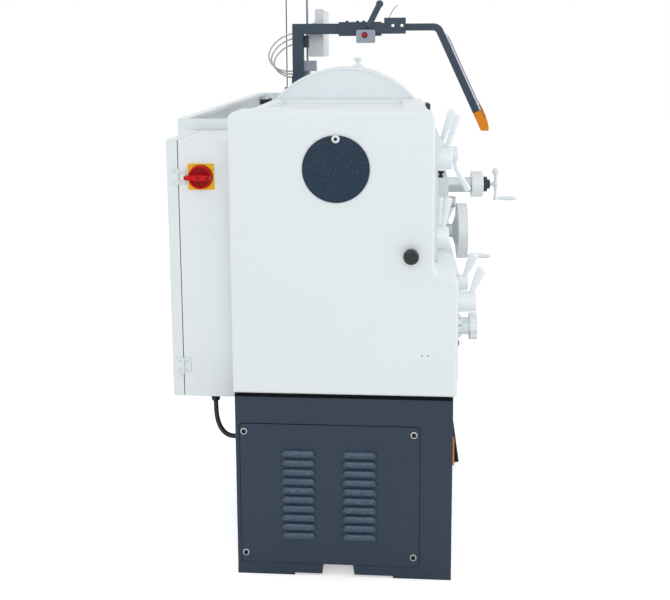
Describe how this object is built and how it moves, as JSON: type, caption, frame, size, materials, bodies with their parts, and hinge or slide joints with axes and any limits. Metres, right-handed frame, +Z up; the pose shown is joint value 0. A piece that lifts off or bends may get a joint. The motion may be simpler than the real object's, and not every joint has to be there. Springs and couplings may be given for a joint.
{
  "type": "metal lathe",
  "caption": "Universal metal lathe on two floor cabinets, with a geared headstock, sliding carriage, tailstock and swinging guards.",
  "frame": {"origin": "on the floor, at the centre of the four anchor bolts", "axes": "+X from the headstock to the tailstock, -Y towards the operator, +Z up"},
  "size_m": [1.9673, 1.0905, 1.59],
  "materials": {
    "white_enamel": "satin",
    "blue_grey_enamel": "satin",
    "lever_enamel": "gloss",
    "grey_enamel": "satin",
    "motor_paint": "matte",
    "bed_iron": "satin",
    "slide_iron": "satin",
    "ground_steel": "satin",
    "black_oxide": "satin",
    "black_plastic": "gloss",
    "red_plastic": "gloss",
    "yellow_plastic": "satin",
    "orange_plastic": "satin",
    "readout_plastic": "matte",
    "clear_sheet": "gloss",
    "cable_sheath": "matte",
    "belt_rubber": "matte"
  },
  "bodies": {
    "frame": {"head_cabinet": "blue_grey_enamel", "tail_cabinet": "blue_grey_enamel", "louvre_panel": "blue_grey_enamel", "chip_tray": "blue_grey_enamel", "bed": "bed_iron", "headstock": "white_enamel", "feed_gearbox": "white_enamel", "black_fittings": "black_oxide", "motor": "motor_paint", "drive_belt": "belt_rubber", "electrics_cabinet": "white_enamel", "switch_plate": "yellow_plastic", "motor_cable": "cable_sheath", "splash_guard": "white_enamel"},
    "end_cover": {"end_cover": "white_enamel"},
    "bar_disc": {"bar_disc": "blue_grey_enamel"},
    "cover_knob": {"cover_knob": "black_plastic"},
    "electrics_door": {"electrics_door": "white_enamel"},
    "main_switch": {"main_switch": "red_plastic"},
    "spindle": {"spindle_and_chuck": "ground_steel"},
    "head_pulley": {"head_pulley": "ground_steel"},
    "motor_pulley": {"motor_pulley": "ground_steel"},
    "stud_gear": {"stud_gear": "ground_steel"},
    "idler_gear": {"idler_gear": "ground_steel"},
    "input_gear": {"input_gear": "ground_steel"},
    "lead_screw": {"lead_screw": "ground_steel"},
    "feed_rod": {"feed_rod": "ground_steel"},
    "speed_lever_left": {"speed_lever_left": "lever_enamel"},
    "speed_lever_right": {"speed_lever_right": "lever_enamel"},
    "thread_lever_left": {"thread_lever_left": "lever_enamel"},
    "thread_lever_right": {"thread_lever_right": "lever_enamel"},
    "direction_lever": {"direction_lever": "lever_enamel"},
    "feed_lever_left": {"feed_lever_left": "lever_enamel"},
    "feed_lever_right": {"feed_lever_right": "lever_enamel"},
    "star_knob": {"star_knob": "black_plastic"},
    "chuck_guard": {"chuck_guard": "white_enamel"},
    "carriage": {"saddle": "white_enamel", "guard_post": "blue_grey_enamel", "carriage_fittings": "grey_enamel", "readout": "readout_plastic", "readout_leads": "cable_sheath"},
    "apron_wheel": {"apron_wheel": "lever_enamel"},
    "feed_selector": {"feed_selector": "grey_enamel"},
    "half_nut_lever": {"half_nut_lever": "lever_enamel"},
    "cross_crank": {"cross_crank": "ground_steel", "cross_ring": "black_plastic"},
    "saddle_lock": {"saddle_lock": "black_oxide"},
    "cross_slide": {"cross_slide": "slide_iron"},
    "top_slide": {"top_slide": "slide_iron"},
    "top_crank": {"top_crank": "ground_steel"},
    "tool_post": {"tool_post": "black_oxide"},
    "guard_arm": {"guard_arm": "blue_grey_enamel", "guard_shield": "clear_sheet", "guard_handle": "orange_plastic"},
    "tailstock": {"tailstock": "white_enamel"},
    "quill": {"quill": "ground_steel"},
    "tail_wheel": {"tail_wheel": "lever_enamel"},
    "tail_clamp": {"tail_clamp": "lever_enamel"},
    "quill_lock": {"quill_lock": "lever_enamel"},
    "brake_pedal": {"brake_pedal": "blue_grey_enamel"}
  },
  "joints": [
    {"name": "cover_swing", "type": "hinge", "parent": "frame", "child": "end_cover", "pos_m": [-0.88, 0.25, 0.86], "axis": [0, 0, -1], "range_deg": [0, 75]},
    {"name": "disc_swing", "type": "hinge", "parent": "end_cover", "child": "bar_disc", "pos_m": [-0.9768, 0, 1.149], "axis": [1, 0, 0], "range_deg": [0, 150]},
    {"name": "cover_lock_turn", "type": "hinge", "parent": "end_cover", "child": "cover_knob", "pos_m": [-0.975, -0.183, 0.863], "axis": [1, 0, 0], "range_deg": [0, 90]},
    {"name": "door_swing", "type": "hinge", "parent": "frame", "child": "electrics_door", "pos_m": [-0.8495, 0.422, 0.784], "axis": [0, 0, 1], "range_deg": [0, 100]},
    {"name": "switch_turn", "type": "hinge", "parent": "frame", "child": "main_switch", "pos_m": [-0.849, 0.361, 1.036], "axis": [1, 0, 0], "range_deg": [0, 90]},
    {"name": "spindle_spin", "type": "hinge", "parent": "frame", "child": "spindle", "pos_m": [-0.64, 0, 1.075], "axis": [1, 0, 0], "continuous": true},
    {"name": "head_pulley_spin", "type": "hinge", "parent": "frame", "child": "head_pulley", "pos_m": [-0.9, 0.11, 0.96], "axis": [1, 0, 0], "continuous": true},
    {"name": "motor_spin", "type": "hinge", "parent": "frame", "child": "motor_pulley", "pos_m": [-0.9, 0.11, 0.235], "axis": [1, 0, 0], "continuous": true},
    {"name": "stud_gear_spin", "type": "hinge", "parent": "frame", "child": "stud_gear", "pos_m": [-0.88, -0.11, 0.93], "axis": [1, 0, 0], "continuous": true},
    {"name": "idler_gear_spin", "type": "hinge", "parent": "frame", "child": "idler_gear", "pos_m": [-0.88, -0.15256, 0.82586], "axis": [1, 0, 0], "continuous": true},
    {"name": "input_gear_spin", "type": "hinge", "parent": "frame", "child": "input_gear", "pos_m": [-0.88, -0.2, 0.735], "axis": [1, 0, 0], "continuous": true},
    {"name": "lead_screw_spin", "type": "hinge", "parent": "frame", "child": "lead_screw", "pos_m": [0.24, -0.215, 0.705], "axis": [1, 0, 0], "continuous": true},
    {"name": "feed_rod_spin", "type": "hinge", "parent": "frame", "child": "feed_rod", "pos_m": [0.24, -0.215, 0.652], "axis": [1, 0, 0], "continuous": true},
    {"name": "speed_lever_left_turn", "type": "hinge", "parent": "frame", "child": "speed_lever_left", "pos_m": [-0.715, -0.275, 1.07], "axis": [0, 1, 0], "range_deg": [-40, 10]},
    {"name": "speed_lever_right_turn", "type": "hinge", "parent": "frame", "child": "speed_lever_right", "pos_m": [-0.615, -0.271, 1.072], "axis": [0, 1, 0], "range_deg": [-10, 40]},
    {"name": "thread_lever_left_turn", "type": "hinge", "parent": "frame", "child": "thread_lever_left", "pos_m": [-0.775, -0.269, 0.866], "axis": [0, 1, 0], "range_deg": [-35, 10]},
    {"name": "thread_lever_right_turn", "type": "hinge", "parent": "frame", "child": "thread_lever_right", "pos_m": [-0.679, -0.265, 0.85], "axis": [0, 1, 0], "range_deg": [-10, 35]},
    {"name": "direction_lever_turn", "type": "hinge", "parent": "frame", "child": "direction_lever", "pos_m": [-0.525, -0.29, 1.059], "axis": [0, 1, 0], "range_deg": [-30, 30]},
    {"name": "feed_lever_left_turn", "type": "hinge", "parent": "frame", "child": "feed_lever_left", "pos_m": [-0.675, -0.341, 0.66], "axis": [0, 1, 0], "range_deg": [-35, 35]},
    {"name": "feed_lever_right_turn", "type": "hinge", "parent": "frame", "child": "feed_lever_right", "pos_m": [-0.475, -0.338, 0.659], "axis": [0, 1, 0], "range_deg": [-35, 35]},
    {"name": "star_knob_turn", "type": "hinge", "parent": "frame", "child": "star_knob", "pos_m": [-0.625, -0.368, 0.573], "axis": [0, 1, 0], "continuous": true},
    {"name": "chuck_guard_lift", "type": "hinge", "parent": "frame", "child": "chuck_guard", "pos_m": [-0.347, 0.256, 1.206], "axis": [-1, 0, 0], "range_deg": [0, 80]},
    {"name": "carriage_slide", "type": "slide", "parent": "frame", "child": "carriage", "axis": [1, 0, 0], "range_m": [-0.15, 0.15]},
    {"name": "apron_wheel_turn", "type": "hinge", "parent": "carriage", "child": "apron_wheel", "pos_m": [0.01, -0.36, 0.717], "axis": [0, 1, 0], "range_deg": [-721, 721]},
    {"name": "feed_selector_turn", "type": "hinge", "parent": "carriage", "child": "feed_selector", "pos_m": [0.1, -0.346, 0.805], "axis": [0, 1, 0], "range_deg": [-35, 35]},
    {"name": "half_nut_turn", "type": "hinge", "parent": "carriage", "child": "half_nut_lever", "pos_m": [0.225, -0.34, 0.7], "axis": [0, 1, 0], "range_deg": [0, 35]},
    {"name": "cross_crank_turn", "type": "hinge", "parent": "carriage", "child": "cross_crank", "pos_m": [0.1, -0.48, 0.872], "axis": [0, 1, 0], "range_deg": [-5765, 5765]},
    {"name": "saddle_lock_turn", "type": "hinge", "parent": "carriage", "child": "saddle_lock", "pos_m": [0.04, -0.309, 0.915], "axis": [0, 0, 1], "range_deg": [-60, 60]},
    {"name": "cross_slide_feed", "type": "slide", "parent": "carriage", "child": "cross_slide", "axis": [0, 1, 0], "range_m": [-0.08, 0.08]},
    {"name": "top_slide_feed", "type": "slide", "parent": "cross_slide", "child": "top_slide", "axis": [-1, 0, 0], "range_m": [-0.05, 0.05]},
    {"name": "top_crank_turn", "type": "hinge", "parent": "top_slide", "child": "top_crank", "pos_m": [0.23, -0.07, 0.9865], "axis": [-1, 0, 0], "range_deg": [-3605, 3605]},
    {"name": "tool_post_turn", "type": "hinge", "parent": "top_slide", "child": "tool_post", "pos_m": [0.05, -0.07, 1.039], "axis": [0, 0, 1], "continuous": true},
    {"name": "guard_lift", "type": "hinge", "parent": "carriage", "child": "guard_arm", "pos_m": [0.1, -0.045, 1.437], "axis": [-1, 0, 0], "range_deg": [0, 80]},
    {"name": "tailstock_slide", "type": "slide", "parent": "frame", "child": "tailstock", "axis": [1, 0, 0], "range_m": [-0.12, 0.03]},
    {"name": "quill_feed", "type": "slide", "parent": "tailstock", "child": "quill", "axis": [-1, 0, 0], "range_m": [0, 0.1]},
    {"name": "tail_wheel_turn", "type": "hinge", "parent": "tailstock", "child": "tail_wheel", "pos_m": [0.88, 0, 1.075], "axis": [-1, 0, 0], "range_deg": [-5, 7205]},
    {"name": "tail_clamp_turn", "type": "hinge", "parent": "tailstock", "child": "tail_clamp", "pos_m": [0.82, -0.084, 0.97], "axis": [0, 1, 0], "range_deg": [-40, 40]},
    {"name": "quill_lock_turn", "type": "hinge", "parent": "tailstock", "child": "quill_lock", "pos_m": [0.7, 0, 1.145], "axis": [0, 0, 1], "range_deg": [-60, 60]},
    {"name": "brake_press", "type": "hinge", "parent": "frame", "child": "brake_pedal", "pos_m": [0.045, -0.225, 0.21], "axis": [1, 0, 0], "range_deg": [0, 8], "stiffness_Nm_per_rad": 60, "springref_deg": -14.32}
  ],
  "couplings": [
    {"joint": "head_pulley_spin", "follows": "spindle_spin", "ratio": -2},
    {"joint": "motor_spin", "follows": "spindle_spin", "ratio": -4.2222},
    {"joint": "stud_gear_spin", "follows": "spindle_spin", "ratio": 0.5},
    {"joint": "idler_gear_spin", "follows": "spindle_spin", "ratio": -0.57143},
    {"joint": "input_gear_spin", "follows": "spindle_spin", "ratio": 0.6},
    {"joint": "lead_screw_spin", "follows": "spindle_spin", "ratio": 0.3},
    {"joint": "feed_rod_spin", "follows": "spindle_spin", "ratio": 0.15},
    {"joint": "apron_wheel_turn", "follows": "carriage_slide", "rad_per_m": 83.776},
    {"joint": "cross_crank_turn", "follows": "cross_slide_feed", "rad_per_m": 1256.6},
    {"joint": "top_crank_turn", "follows": "top_slide_feed", "rad_per_m": 1256.6},
    {"joint": "tail_wheel_turn", "follows": "quill_feed", "rad_per_m": 1256.6}
  ]
}
